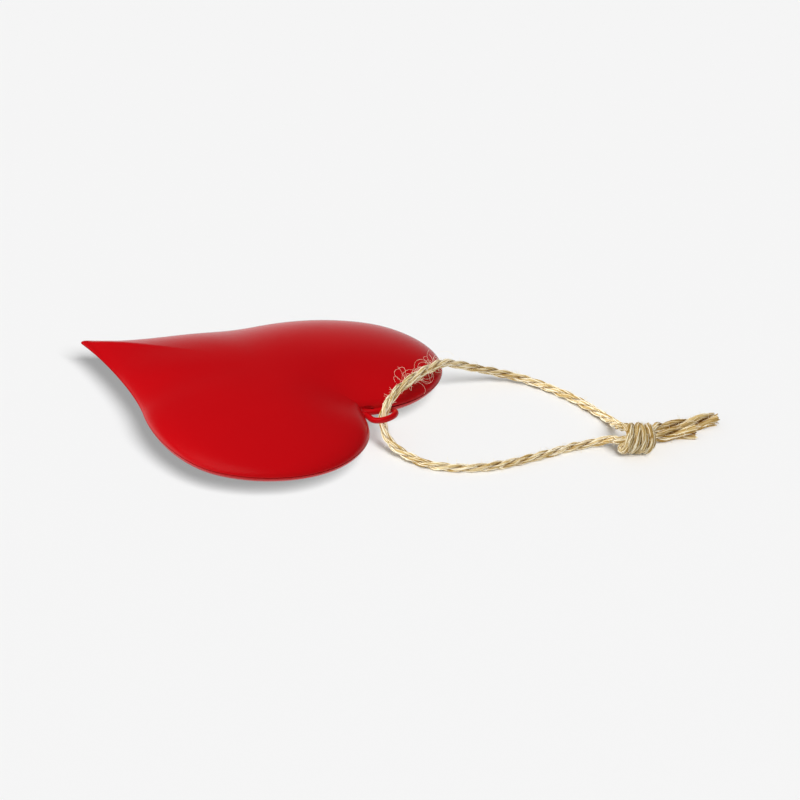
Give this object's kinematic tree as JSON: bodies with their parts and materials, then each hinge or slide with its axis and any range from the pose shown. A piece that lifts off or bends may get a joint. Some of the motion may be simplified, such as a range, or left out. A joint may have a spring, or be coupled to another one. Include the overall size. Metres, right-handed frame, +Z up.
{
  "type": "metal heart ornament",
  "caption": "Puffed heart of stamped, painted sheet metal with a wire eye in its cleft and a knotted jute loop to hang it by.",
  "frame": {"origin": "on the surface the heart lies on, under the middle of the box of the heart and its eye", "axes": "+X along the heart from the tip to the cleft, +Y across the lobes, +Z up through the domes"},
  "size_m": [0.206, 0.1235, 0.0177],
  "materials": {
    "red_paint": "satin red paint on stamped steel",
    "jute": "loosely laid natural jute"
  },
  "bodies": {
    "root": {"heart_body": "red_paint", "wire_eye": "red_paint", "twine_loop": "jute", "twine_knot": "jute", "twine_tail_long": "jute", "twine_tail_short": "jute"}
  },
  "joints": []
}
